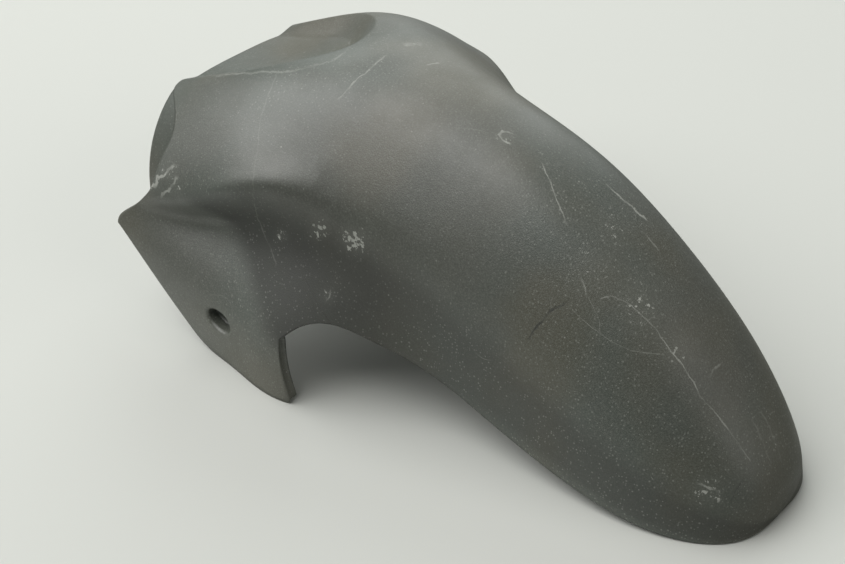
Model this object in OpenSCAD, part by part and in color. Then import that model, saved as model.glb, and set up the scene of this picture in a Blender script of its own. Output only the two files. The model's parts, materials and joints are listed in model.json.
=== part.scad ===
/* Motorcycle front mudguard: one moulded shell in plastic.
   X runs forward along the bike, Z is up, and the left and right halves mirror each other in Y.
   The origin is on the ground under the middle of the overall length. */

/* [Overall] */
// Length from the tongue behind the fork to the tip of the nose
body_length = 465; // [420:5:520]
// Width over the two fork ears, where they are widest
body_width = 266; // [230:2:300]
// Width of the nose over its side skirts
nose_width = 152; // [134:2:170]
// Height of the dome above the ground the part lies on
body_height = 196; // [180:2:220]
// Thickness of the moulded wall
wall = 3; // [2:0.25:4]

/* [Wheel arch and ears] */
// Distance of the ear's front edge behind the middle of the length, at the toe
toe_back = 56; // [50:1:66]
// How much further back the notch at the top of that edge lies
notch_lean = 11; // [6:1:16]
// Height of the notch between wheel arch and ear
notch_height = 47; // [42:1:54]
// Height of the wheel arch just ahead of the notch
arch_height = 70; // [64:1:74]
// Length of the ear's bottom edge
ear_foot = 84; // [70:1:95]
// Height of the ear's rear tip
ear_tip_height = 66; // [58:1:72]
// Distance of the rear tip ahead of the shell's rear end
ear_tip_inset = 8; // [6:1:14]
// Depth of the return that stiffens the ear's front edge
return_depth = 7; // [4:0.5:10]

/* [Stem scoop] */
// How far the scoop reaches ahead of the shell's rear end
scoop_length = 112; // [100:2:140]
// Half of the scoop's width at the rear
scoop_half = 50; // [40:1:56]
// Depth of the scoop below the two humps
scoop_depth = 13; // [6:1:16]

/* [Fork recess] */
// How far the skin is cut back behind each hump for the fork leg
fork_cut = 41; // [30:1:48]
// Height of the inner wall beside each fork leg
fork_wall_height = 72; // [50:2:80]

/* [Bolt seats] */
// Distance of the bolt ahead of the shell's rear end
bolt_x = 109; // [100:1:116]
// Height of the bolt
bolt_z = 33; // [28:1:38]
// Diameter of the bolt hole
bolt_hole = 8.5; // [6:0.5:10]
// Height of the recess for the bolt's head
seat_d = 14; // [13:0.5:18]
// How much longer than high the recess is
seat_run = 8.5; // [2:0.5:12]
// Depth of the recess
seat_depth = 9; // [6:0.5:12]

/* [Hidden] */
$fn = 48;

// Lofting rails. Each row is one station: its place as a fraction of the length, then
// [half width, height] of the crown, dome, hump, shoulder, under-shoulder, foot and bottom
// rail, as fractions of the local half width and of the height.
EAR_ROWS = 5;
RAILS = [
  [0.00, [0, .745], [.33, .745], [.57, .680], [ .87, .55], [ .97, .41], [ .98, .33], [.96, -.03]],
  [0.08, [0, .800], [.32, .840], [.59, .795], [ .88, .61], [ .91, .46], [ .98, .35], [.96, -.03]],
  [0.17, [0, .895], [.31, .945], [.58, .900], [ .91, .69], [ .80, .52], [ .97, .34], [.96, -.03]],
  [0.27, [0, .995], [.30, 1.01], [.53, .930], [ .87, .78], [ .72, .56], [ .98, .29], [.97, -.03]],
  [0.38, [0, 1.01], [.26, .985], [.47, .860], [ .73, .72], [ .69, .54], [1.07, .27], [1.05, -.03]],
  [0.50, [0, .985], [.42, .950], [.79, .770], [1.02, .63], [1.00, .45], [1.06, .27], [1.10, .03]],
  [0.63, [0, .905], [.43, .885], [.79, .710], [ .97, .48], [ .98, .34], [1.00, .21], [1.02, .10]],
  [0.76, [0, .730], [.42, .710], [.74, .550], [ .91, .35], [ .95, .22], [ .98, .13], [1.00, .05]],
  [0.88, [0, .500], [.40, .485], [.67, .370], [ .82, .22], [ .88, .13], [ .92, .05], [.94, .00]],
  [0.97, [0, .255], [.28, .245], [.46, .190], [ .58, .12], [ .62, .06], [.65, .025], [.66, .005]],
  [1.00, [0, .125], [.13, .120], [.23, .095], [ .29, .06], [ .32, .03], [.34, .015], [.35, .005]],
  [1.00, [0, .010], [  0, .010], [  0, .010], [   0, .01], [   0, .01], [  0, .010], [  0, .010]],
];
ROWS = len(RAILS);
SIDE_RAILS = len(RAILS[0]) - 2;

nose_x = body_length / 2;
rear_x = -nose_x;
toe_x = -toe_back;
notch_x = toe_x - notch_lean;
knee_x = toe_x - ear_foot;
tip_x = rear_x + ear_tip_inset;
bolt_at = rear_x + bolt_x;

// Columns of the mesh along the nose, and rows from the crown to the edge
NOSE_COLS = 30;
SPINE_ROWS = 21;

function lerp(a, b, t) = a + (b - a) * t;
// smooth step from 0 at a to 1 at b, which may run downwards
function ramp(a, b, t) = let (s = min(max((t - a) / (b - a), 0), 1)) s * s * (3 - 2 * s);

// Cubic B-spline through rails and stations
function blend(t) = [pow(1 - t, 3), 3 * pow(t, 3) - 6 * t * t + 4,
                     -3 * pow(t, 3) + 3 * t * t + 3 * t + 1, pow(t, 3)] / 6;
function local_half(i) = (i < EAR_ROWS ? body_width : nose_width) / 2;
function rail_point(i, k) =
  let (row = RAILS[i], p = row[1 + abs(k)])
  [(row[0] - 0.5) * body_length, sign(k) * p[0] * local_half(i), p[1] * body_height];
// control point with the ends carried on in a straight line
function control_u(i, k) =
  i < 0 ? 2 * rail_point(0, k) - rail_point(1, k) :
  i >= ROWS ? 2 * rail_point(ROWS - 1, k) - rail_point(ROWS - 2, k) : rail_point(i, k);
function control(i, k) =
  k > SIDE_RAILS ? 2 * control_u(i, SIDE_RAILS) - control_u(i, SIDE_RAILS - 1) :
  k < -SIDE_RAILS ? 2 * control_u(i, -SIDE_RAILS) - control_u(i, 1 - SIDE_RAILS) : control_u(i, k);
function across(i, k0, bv) = bv[0] * control(i, k0 - 1) + bv[1] * control(i, k0)
                           + bv[2] * control(i, k0 + 1) + bv[3] * control(i, k0 + 2);
function loft(u, v) =
  let (i = min(floor(u), ROWS - 2), k = min(floor(v), SIDE_RAILS - 1), bu = blend(u - i), bv = blend(v - k))
  bu[0] * across(i - 1, k, bv) + bu[1] * across(i, k, bv)
  + bu[2] * across(i + 1, k, bv) + bu[3] * across(i + 2, k, bv);

// The scoop: a U in plan, open to the rear
SCOOP_NOSE = 58;
SCOOP_RUN = 70;
function scoop_drop(x, y) =
  let (ahead = max(0, x - rear_x - scoop_length + SCOOP_NOSE) / SCOOP_NOSE,
       reach = norm([ahead, y / scoop_half]))
  scoop_depth * ramp(1.1, 0.72, reach) * ramp(rear_x - SCOOP_RUN, rear_x + SCOOP_RUN, x);
function skin(u, v) = let (p = loft(u, v)) p - [0, 0, scoop_drop(p[0], p[1])];

// Station at a place along the length, and rail at a height, by halving
function find_u(x, lo = 0, hi = ROWS - 1, n = 14) =
  n == 0 ? (lo + hi) / 2 :
  let (mid = (lo + hi) / 2) loft(mid, 0)[0] < x ? find_u(x, mid, hi, n - 1) : find_u(x, lo, mid, n - 1);
function find_v(u, z, lo = 2.5, hi = SIDE_RAILS, n = 12) =
  n == 0 ? hi :
  let (mid = (lo + hi) / 2)
  loft(u, mid)[2] > z ? find_v(u, z, mid, hi, n - 1) : find_v(u, z, lo, mid, n - 1);

// Side view of the edge, from the nose back to the ear's rear tip
ARCH_PEAK = 22;
ARCH_BEND = 52;
EDGE_SAG = 1.9;
arch_x = notch_x + ARCH_PEAK;
function skirt_edge(x) = arch_height * pow(max(0, (nose_x - x) / (nose_x - arch_x)), EDGE_SAG);
function arch_edge(x) =
  let (t = max(0, (notch_x + ARCH_BEND - x) / ARCH_BEND))
  skirt_edge(x) - (skirt_edge(notch_x) - notch_height) * pow(t, 3);
// arc that rounds a corner of the outline
function corner(a, b, c, r, n) =
  let (u = (a - b) / norm(a - b), w = (c - b) / norm(c - b),
       half = acos(u * w) / 2, reach = r / tan(half))
  [for (i = [0:n]) let (t = i / n, p = b + reach * u, q = b + reach * w, m = b)
     pow(1 - t, 2) * p + 2 * t * (1 - t) * m + t * t * q];

// Rounding of the ear's toe, and of the knee behind its foot
TOE_ROUND = 4;
KNEE_ROUND = 45;

// columns lie closest together at the nose, and close at the notch
COLUMN_SWING = 160;
function column_share(j) = (1 - cos(COLUMN_SWING * j / NOSE_COLS)) / (1 - cos(COLUMN_SWING));
NOSE_EDGE = [for (j = [0:NOSE_COLS]) let (x = lerp(nose_x, notch_x + wall, column_share(j))) [x, arch_edge(x)]];
notch = [notch_x, notch_height];
toe = [toe_x, 0];
knee = [knee_x, 0];
tip = [tip_x, ear_tip_height];
EAR_EDGE = concat(
  [for (t = [0, 1 / 3, 2 / 3]) lerp(notch, toe + TOE_ROUND * [-0.25, 1.5], t)],
  corner(notch, toe, knee, TOE_ROUND, 3),
  [for (t = [1 / 6, 2 / 6, 3 / 6]) lerp(toe, knee, t)],
  corner(toe, knee, tip, KNEE_ROUND, 5),
  [for (t = [2 / 6, 3 / 6, 4 / 6, 5 / 6, 1]) lerp(knee, tip, t)]);
EDGE = concat(NOSE_EDGE, EAR_EDGE);
COLS = len(EDGE) - 1;
EAR_COLS = COLS - NOSE_COLS;

// Rear border of the skin: the tongue reaches the rear end, the fork recess cuts in beside it
REAR_COLS = 12;
station_gap = RAILS[1][0] * body_length;
function border_u(v) = fork_cut / station_gap * ramp(1.4, 2.5, v) - 0.83 * ramp(3, 4.7, v);

// Net of points: column j starts on the crown and ends on the edge. The columns that end on the
// ear's front edge pass behind the notch first and fan out below it.
FRONT_FAN = 8;
REAR_FAN = 2;
COLUMN = [for (j = [0:COLS])
  let (x = EDGE[j][0], u = find_u(x), v = j == 0 ? SIDE_RAILS : find_v(u, EDGE[j][1]),
       spine = j <= NOSE_COLS ? u : find_u(lerp(notch_x, rear_x, (j - NOSE_COLS) / EAR_COLS)))
  [u, v, spine, lerp(FRONT_FAN, REAR_FAN, ramp(NOSE_COLS + 5, COLS, j))]];
LAST = COLUMN[COLS];
function column_u(c, t) = lerp(c[2], c[0], pow(t, c[3]));
function column_v(c, t) = SIDE_RAILS * t - (SIDE_RAILS - c[1]) * pow(t, 4);
// rows lie closest together where the scoop's lip runs
function row_share(i) = lookup(i, [[0, 0], [3, 0.7], [9, 1.25], [SPINE_ROWS, SIDE_RAILS]]) / SIDE_RAILS;
function border_shift(t) = border_u(column_v(LAST, t)) - column_u(LAST, t);
// net place of row i on column j, as station and rail
function place(j, i) =
  let (c = COLUMN[j], t = row_share(abs(i)))
  [column_u(c, t) + ramp(COLS - REAR_COLS, COLS, j) * border_shift(t), sign(i) * column_v(c, t)];

ROW_IDS = [-SPINE_ROWS:SPINE_ROWS];
PLACES = [for (j = [0:COLS]) [for (i = ROW_IDS) place(j, i)]];
OUTER = [for (c = PLACES) [for (p = c) skin(p[0], p[1])]];
WIDTH = 2 * SPINE_ROWS;
STEP = 0.02;
function unit(p) = p / max(norm(p), 1e-9);
function facing(j, i) =
  let (p = PLACES[j][i], u = min(max(p[0], STEP), ROWS - 1 - STEP),
       v = min(max(p[1], STEP - SIDE_RAILS), SIDE_RAILS - STEP))
  j == 0 ? [1, 0, 0] :
  unit(cross(skin(u + STEP, v) - skin(u - STEP, v), skin(u, v + STEP) - skin(u, v - STEP)));

// the ear's front edge is turned in by return_depth
RETURN_COLS = 6;
function inset(j, i) =
  i % WIDTH == 0 && j > NOSE_COLS && j < NOSE_COLS + RETURN_COLS
  ? [0, sign(i - SPINE_ROWS) * return_depth, 0] : wall * facing(j, i);
INNER = [for (j = [0:COLS]) [for (i = [0:WIDTH]) OUTER[j][i] - inset(j, i)]];

// A closed sheet between an outer and an inner net of points
module sheet(outer, inner) {
  rows = len(outer[0]);
  cols = len(outer);
  function at(j, i) = j * rows + i;
  inside = rows * cols;
  // each patch is split along its shorter diagonal
  function patch(j, i) =
    norm(outer[j][i] - outer[j + 1][i + 1]) < norm(outer[j + 1][i] - outer[j][i + 1])
    ? [[at(j, i), at(j + 1, i), at(j + 1, i + 1)], [at(j, i), at(j + 1, i + 1), at(j, i + 1)]]
    : [[at(j, i), at(j + 1, i), at(j, i + 1)], [at(j + 1, i), at(j + 1, i + 1), at(j, i + 1)]];
  skin_faces = [for (j = [0:cols - 2]) for (i = [0:rows - 2]) each patch(j, i)];
  back_faces = [for (f = skin_faces) [f[2] + inside, f[1] + inside, f[0] + inside]];
  rim = concat(
    [for (j = [0:cols - 1]) at(j, 0)], [for (i = [1:rows - 1]) at(cols - 1, i)],
    [for (j = [cols - 2:-1:0]) at(j, rows - 1)], [for (i = [rows - 2:-1:1]) at(0, i)]);
  rim_faces = [for (k = [0:len(rim) - 1]) let (a = rim[k], b = rim[(k + 1) % len(rim)])
    each [[b, a, a + inside], [b, a + inside, b + inside]]];
  polyhedron(concat([for (c = outer) each c], [for (c = inner) each c]),
             concat(skin_faces, back_faces, rim_faces));
}

module shell() {
  sheet(OUTER, INNER);
}

// Inner wall beside a fork leg: rolls down from the side of the tongue
WALL_START = 1.3;
WALL_BULGE = 38;
WALL_RUN = 25;
WALL_COLS = 7;
WALL_ROWS = 8;
function fork_wall_point(x, t, depth) =
  let (p = skin(find_u(x), WALL_START), across = WALL_BULGE * 90 * PI / 180 * cos(90 * t),
       down = 1.5 * fork_wall_height * sqrt(t), n = unit([0, down, across]))
  p + [0, WALL_BULGE * sin(90 * t), -wall / 2 - fork_wall_height * pow(t, 1.5)] - depth * n;
module fork_wall() {
  xs = [for (j = [0:WALL_COLS]) lerp(rear_x, rear_x + fork_cut + WALL_RUN, j / WALL_COLS)];
  nets = [for (depth = [0, wall]) [for (x = xs) [for (i = [WALL_ROWS:-1:0])
    fork_wall_point(x, i / WALL_ROWS, depth)]]];
  sheet(nets[0], nets[1]);
}

// Bolt seat: a cup sunk into the ear, with the bolt hole through its floor
bolt_u = find_u(bolt_at);
seat_y = skin(bolt_u, find_v(bolt_u, bolt_z))[1];
MOUTH = 1.5;
REACH = 10;
SEAT_LEAN = -8;
module on_bolt_axis(y) {
  translate([bolt_at, y, bolt_z]) rotate([90, 0, 0]) children();
}
// long round-ended form that leans down towards the nose and tapers from d1 to d2
module seat_form(d1, d2, h) {
  rotate([0, 0, SEAT_LEAN]) {
    for (end = [-1, 1]) translate([end * seat_run / 2, 0, 0]) cylinder(d1 = d1, d2 = d2, h = h);
    rotate([90, 0, 90]) linear_extrude(seat_run, center = true)
      polygon([[-d1 / 2, 0], [d1 / 2, 0], [d2 / 2, h], [-d2 / 2, h]]);
  }
}
module seat_cup() {
  cup_d = seat_d + 2 * wall;
  on_bolt_axis(seat_y - wall / 2) seat_form(cup_d, cup_d, seat_depth + wall / 2);
}
module seat_cut() {
  on_bolt_axis(seat_y + REACH) seat_form(seat_d, seat_d, REACH + seat_depth);
  on_bolt_axis(seat_y + MOUTH) seat_form(seat_d + 4 * MOUTH, seat_d, 2 * MOUTH);
  on_bolt_axis(seat_y + REACH) cylinder(d = bolt_hole, h = seat_depth + 2 * REACH);
}
module both_sides() {
  children();
  mirror([0, 1, 0]) children();
}

module mudguard() {
  color("dimgray") difference() {
    union() {
      resize([body_length, 0, 0]) {
        shell();
        both_sides() fork_wall();
      }
      both_sides() seat_cup();
    }
    both_sides() seat_cut();
  }
}

mudguard();
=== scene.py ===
"""Looks of a used motorcycle front mudguard: one shell moulded in grained dark grey plastic.

The shell is a cubic B-spline loft through seven rails a side and twelve stations. It is worked
out here on a fine net, with rounded rims, inner fork walls and a long recess in each ear.
Shapes are in millimetres in the part's own frame, and become metres in make_piece.
"""

import json

import bpy
import numpy as np
from mathutils import Matrix, Vector


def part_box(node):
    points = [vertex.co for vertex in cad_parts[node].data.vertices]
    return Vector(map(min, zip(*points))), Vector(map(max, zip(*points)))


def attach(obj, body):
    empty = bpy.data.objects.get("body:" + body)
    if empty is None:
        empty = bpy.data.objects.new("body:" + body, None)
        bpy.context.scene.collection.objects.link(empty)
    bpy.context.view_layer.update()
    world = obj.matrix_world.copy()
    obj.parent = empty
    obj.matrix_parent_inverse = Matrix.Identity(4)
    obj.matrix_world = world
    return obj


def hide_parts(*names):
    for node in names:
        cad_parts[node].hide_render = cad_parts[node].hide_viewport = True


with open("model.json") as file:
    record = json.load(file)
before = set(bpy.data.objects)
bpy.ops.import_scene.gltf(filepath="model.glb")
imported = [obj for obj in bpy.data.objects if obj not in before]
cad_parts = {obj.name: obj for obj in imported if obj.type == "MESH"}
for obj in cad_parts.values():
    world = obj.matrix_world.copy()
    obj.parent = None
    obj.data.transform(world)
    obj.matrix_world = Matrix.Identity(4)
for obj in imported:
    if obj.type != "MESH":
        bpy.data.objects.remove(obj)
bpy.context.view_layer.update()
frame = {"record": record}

MM = 0.001
BOX_LOW, BOX_HIGH = (np.array(corner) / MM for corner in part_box("mudguard"))
MOUNTS = {mount["name"]: mount for mount in frame["record"]["mounts"]}
BOLT_X, _, BOLT_Z = np.array(MOUNTS["bolt_left"]["pos_m"]) / MM

# Main sizes
BODY_LENGTH = BOX_HIGH[0] - BOX_LOW[0]
BODY_WIDTH = 266.0
NOSE_WIDTH = 152.0
BODY_HEIGHT = 196.0
WALL = 3.0
NOSE_X = BODY_LENGTH / 2
REAR_X = -NOSE_X

# Side view of the edge. The nose's points crowd toward its tip, as on an arc of this spread.
EDGE_SPREAD = np.radians(160)
TOE_X = -56.0
NOTCH_LEAN = 11.0
NOTCH_HEIGHT = 47.0
NOTCH_GAP = 0.6
ARCH_HEIGHT = 70.0
ARCH_PEAK = 22.0
ARCH_BEND = 52.0
EDGE_SAG = 1.9
EAR_FOOT = 84.0
EAR_TIP_HEIGHT = 66.0
EAR_TIP_INSET = 8.0
TOE_ROUND = 4.0
KNEE_ROUND = 45.0

# Return along the ear's front edge: its depth, its share of the ear's columns, and how much of
# it the edge's own row and the two rows beside it take
RETURN_DEPTH = 7.0
RETURN_SHARE = 0.26
RETURN_FADE = (1.0, 0.75, 0.2)

# Rounded rim: place between the outer and inner skin, and swell beyond their edges
RIM_ROUND = ((0.12, 0.45), (0.35, 0.75), (0.65, 0.75), (0.9, 0.45))

# Scoop: SCOOP_LIP is where its lip lies and SCOOP_BANK how wide its bank is, in its half widths
SCOOP_LENGTH = 112.0
SCOOP_HALF = 50.0
SCOOP_DEPTH = 13.0
SCOOP_NOSE = 58.0
SCOOP_RUN = 70.0
SCOOP_LIP = 1.07
SCOOP_BANK = 0.34
SCOOP_CRISP = 0.45

# Fork recess and its inner wall. The border cuts in over RECESS_RAILS, and over EAR_RAILS it runs
# back by EAR_REACH stations to the ear's tip. WALL_FALL is the power of the wall's roll.
FORK_CUT = 41.0
RECESS_RAILS = (1.4, 2.5)
EAR_RAILS = (3, 4.7)
EAR_REACH = 0.83
FORK_WALL_HEIGHT = 72.0
WALL_START = 1.3
WALL_BULGE = 38.0
WALL_RUN = 25.0
WALL_FALL = 1.5
WALL_SINK = 0.5
WALL_COLS, WALL_ROWS = 36, 48

# Bolt seats
SEAT_RADIUS = 7.0
SEAT_RUN = 8.5
SEAT_LEAN = -8.0
SEAT_DEPTH = 9.0
SEAT_MOUTH = 2.5
SEAT_FOOT = 1.6
SEAT_MARGIN = 1.0
SEAT_CLEAR = 24.0
CUP_BEVEL = 0.8
CUP_START = 0.7
BOLT_RADIUS = 4.25
BOLT_BEVEL = 0.5

# Shoulder ridge above each ear: its rail at each station from the ear's tip to the dome
RIDGE_HEIGHT = 5.0
RIDGE_SPREAD = 0.34
RIDGE_STATIONS = (1.7, 2.3, 3.1, 3.8, 4.3, 5.0)
RIDGE_RAILS = (3.6, 3.35, 3.0, 2.85, 3.05, 3.3)
RIDGE_RISE = (0.3, 1.6)
RIDGE_FALL = (3.3, 4.5)

# Crease where the ear's flat panel ends: a line in the side view through (x, z), and the
# direction across it
CREASE_X, CREASE_Z = -158.0, 99.0
CREASE_ACROSS = (0.6, 0.8)
CREASE_SOFT = 18.0

# Painted shade below the shoulder, that darkens the hollow: rails over which it comes and goes,
# and where along the length it thins to its share at the front
SHADE_RISE = (2.9, 3.9)
SHADE_FALL = (5.0, 5.9)
SHADE_THIN = (-70.0, 20.0)
SHADE_FRONT = 0.6

# Rails: place along the length, then half width and height of each rail, as shares. The shoulder
# of the first five rows is lower and crisper than in the part's source, as the photo shows it.
EAR_ROWS = 5
RAILS = [
    (0.00, (0, .745), (.33, .745), (.57, .680), (.87, .53), (.97, .40), (.98, .33), (.96, -.03)),
    (0.08, (0, .800), (.32, .840), (.59, .790), (.97, .53), (.86, .42), (.99, .34), (.96, -.03)),
    (0.17, (0, .895), (.31, .945), (.58, .895), (1.00, .58), (.69, .45), (1.00, .32), (.96, -.03)),
    (0.27, (0, .995), (.30, 1.01), (.53, .930), (.95, .72), (.62, .51), (.99, .28), (.97, -.03)),
    (0.38, (0, 1.01), (.26, .985), (.47, .860), (.73, .71), (.64, .53), (1.06, .27), (1.05, -.03)),
    (0.50, (0, .985), (.42, .950), (.79, .770), (1.02, .63), (1.00, .45), (1.06, .27), (1.10, .03)),
    (0.63, (0, .905), (.43, .885), (.79, .710), (.97, .48), (.98, .34), (1.00, .21), (1.02, .10)),
    (0.76, (0, .730), (.42, .710), (.74, .550), (.91, .35), (.95, .22), (.98, .13), (1.00, .05)),
    (0.88, (0, .500), (.40, .485), (.67, .370), (.82, .22), (.88, .13), (.92, .05), (.94, .00)),
    (0.97, (0, .255), (.28, .245), (.46, .190), (.58, .12), (.62, .06), (.65, .025), (.66, .005)),
    (1.00, (0, .125), (.13, .120), (.23, .095), (.29, .06), (.32, .03), (.34, .015), (.35, .005)),
    (1.00, (0, .010), (0, .010), (0, .010), (0, .01), (0, .01), (0, .010), (0, .010)),
]
LAST_ROW = len(RAILS) - 1
SIDE_RAILS = len(RAILS[0]) - 2

# Fineness of the net
NOSE_COLS = 176
EAR_COLS = 112
SPINE_ROWS = 104
ROW_SHARES = (0, 0.12, 0.33, 1)
ROW_RAILS = (0, 0.7, 1.25, SIDE_RAILS)

# Columns of the net: powers by which they turn from the crown to the edge at the notch and at the
# ear's tip, the shares of the ear where this and the pull to the rear border start, and the power
# by which the rails close on the edge
FAN_NOTCH, FAN_TIP = 8, 2
FAN_FROM = 0.25
PULL_FROM = 0.45
CLOSE_POWER = 4

# Searches on the skin. SHOULDER_RAIL is a rail above every edge.
STEP = 0.01
CROWN_POINTS = 4001
SHOULDER_RAIL = 2.5
HALVINGS = 18
NEWTON_STEPS = 8


def ramp(low, high, value):
    """Smooth step from 0 at low to 1 at high: 3s^2 - 2s^3."""
    s = np.clip((value - low) / (high - low), 0, 1)
    return s * s * (3 - 2 * s)


def lerp(a, b, t):
    """Straight blend of a and b."""
    return a + (b - a) * t


def unit(vectors):
    """Vectors scaled to length one."""
    return vectors / np.maximum(np.linalg.norm(vectors, axis=-1, keepdims=True), 1e-9)


def control_net():
    """Control points of the loft, mirrored in y, with each end carried on in a straight line."""
    rows = np.array([[row[0], *np.ravel(row[1:])] for row in RAILS], float)
    half = np.where(np.arange(len(RAILS)) < EAR_ROWS, BODY_WIDTH, NOSE_WIDTH)[:, None] / 2
    x = np.repeat((rows[:, :1] - 0.5) * BODY_LENGTH, SIDE_RAILS + 1, axis=1)
    side = np.stack([x, rows[:, 1::2] * half, rows[:, 2::2] * BODY_HEIGHT], -1)
    net = np.concatenate([side[:, :0:-1] * (1, -1, 1), side], axis=1)
    net = np.concatenate([2 * net[:1] - net[1:2], net, 2 * net[-1:] - net[-2:-1]])
    return np.concatenate([2 * net[:, :1] - net[:, 1:2], net, 2 * net[:, -1:] - net[:, -2:-1]], 1)


NET = control_net()


def blend(t):
    """Weights of the uniform cubic B-spline at t, between the second and third of four points."""
    first = (1 - t) ** 3
    second = 3 * t**3 - 6 * t**2 + 4
    third = 1 + 3 * t + 3 * t**2 - 3 * t**3
    return np.stack([first, second, third, t**3], -1) / 6


def loft(u, v):
    """Point of the loft at station u and rail v: the B-spline sum over a 4 by 4 patch of the net."""
    u, v = np.broadcast_arrays(np.asarray(u, float), np.asarray(v, float))
    row = np.clip(np.floor(u), 0, LAST_ROW - 1).astype(int)
    rail = np.clip(np.floor(v), -SIDE_RAILS, SIDE_RAILS - 1).astype(int)
    four = np.arange(4)
    rows = (row[..., None] + four)[..., :, None]
    rails = (rail[..., None] + SIDE_RAILS + four)[..., None, :]
    patch = NET[rows, rails]
    return np.einsum("...a,...b,...abc->...c", blend(u - row), blend(v - rail), patch)


def scoop_drop(x, y):
    """Depth of the scoop: a U in plan that is open to the rear and has a crisp lip."""
    ahead = np.maximum(0, x - REAR_X - SCOOP_LENGTH + SCOOP_NOSE) / SCOOP_NOSE
    inside = np.clip((SCOOP_LIP - np.hypot(ahead, y / SCOOP_HALF)) / SCOOP_BANK, 0, 1)
    bowl = SCOOP_CRISP * (2 * inside - inside**2) + (1 - SCOOP_CRISP) * ramp(0, 1, inside)
    return SCOOP_DEPTH * bowl * ramp(REAR_X - SCOOP_RUN, REAR_X + SCOOP_RUN, x)


def shoulder_swell(u, v):
    """Height of the shoulder ridge over the loft: a bell exp(-s^2) across a line that runs from
    the ear's tip up to the dome."""
    line = np.interp(u, RIDGE_STATIONS, RIDGE_RAILS)
    fade = ramp(*RIDGE_RISE, u) * (1 - ramp(*RIDGE_FALL, u))
    return RIDGE_HEIGHT * fade * np.exp(-(((np.abs(v) - line) / RIDGE_SPREAD) ** 2))


def skin(u, v):
    """Outer face of the shell: the loft, with the shoulder ridge, lowered by the scoop."""
    point = loft(u, v)
    swell = shoulder_swell(u, v) * np.sqrt(0.5)
    point[..., 1] += np.sign(v) * swell
    point[..., 2] += swell - scoop_drop(point[..., 0], point[..., 1])
    return point


def facing(u, v):
    """Outward direction of the skin, from differences along u and v."""
    u = np.clip(u, STEP, LAST_ROW - STEP)
    v = np.clip(v, STEP - SIDE_RAILS, SIDE_RAILS - STEP)
    along = skin(u + STEP, v) - skin(u - STEP, v)
    across = skin(u, v + STEP) - skin(u, v - STEP)
    return unit(np.cross(along, across))


def find_u(x):
    """Station at a place along the length, read off the crown line."""
    u = np.linspace(0, LAST_ROW, CROWN_POINTS)
    return np.interp(x, loft(u, 0)[:, 0], u)


def find_v(u, z):
    """Rail at a height below the shoulder, by halving."""
    low = np.full(np.shape(u), SHOULDER_RAIL)
    high = np.full(np.shape(u), float(SIDE_RAILS))
    for _ in range(HALVINGS):
        mid = (low + high) / 2
        above = loft(u, mid)[..., 2] > z
        low = np.where(above, mid, low)
        high = np.where(above, high, mid)
    return high


def arc_corner(a, b, c, radius, count=16):
    """Corner b of the outline, rounded by a parabola that leaves both legs at the arc's reach."""
    to_a, to_c = unit(a - b), unit(c - b)
    reach = radius / np.tan(np.arccos(to_a @ to_c) / 2)
    t = np.linspace(0, 1, count)[:, None]
    return (1 - t) ** 2 * (b + reach * to_a) + 2 * t * (1 - t) * b + t**2 * (b + reach * to_c)


def nose_edge():
    """Outline from the nose back to the notch: a power curve that dips at the notch."""
    share = 1 - np.cos(EDGE_SPREAD * np.linspace(0, 1, NOSE_COLS + 1))
    share = share / (1 - np.cos(EDGE_SPREAD))
    notch_x = TOE_X - NOTCH_LEAN
    x = lerp(NOSE_X, notch_x + NOTCH_GAP, share)

    def skirt(place):
        return ARCH_HEIGHT * (np.maximum(0, NOSE_X - place) / (NOSE_X - notch_x - ARCH_PEAK)) ** EDGE_SAG

    dip = np.maximum(0, (notch_x + ARCH_BEND - x) / ARCH_BEND) ** 3
    return np.stack([x, skirt(x) - (skirt(notch_x) - NOTCH_HEIGHT) * dip], -1)


def ear_edge():
    """Outline of the ear, notch to rear tip, with a small toe and a wide knee, evenly spaced."""
    notch = np.array([TOE_X - NOTCH_LEAN, NOTCH_HEIGHT])
    toe = np.array([TOE_X, 0.0])
    knee = np.array([TOE_X - EAR_FOOT, 0.0])
    tip = np.array([REAR_X + EAR_TIP_INSET, EAR_TIP_HEIGHT])
    corners = [arc_corner(notch, toe, knee, TOE_ROUND), arc_corner(toe, knee, tip, KNEE_ROUND)]
    line = np.concatenate([notch[None], *corners, tip[None]])
    run = np.concatenate([[0], np.cumsum(np.linalg.norm(np.diff(line, axis=0), axis=1))])
    even = np.linspace(0, run[-1], EAR_COLS)
    return np.stack([np.interp(even, run, line[:, 0]), np.interp(even, run, line[:, 1])], -1)


def border_u(v):
    """Rear border of the skin: the tongue reaches the end, and the fork recess cuts in beside it."""
    station_gap = RAILS[1][0] * BODY_LENGTH
    return FORK_CUT / station_gap * ramp(*RECESS_RAILS, v) - EAR_REACH * ramp(*EAR_RAILS, v)


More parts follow.
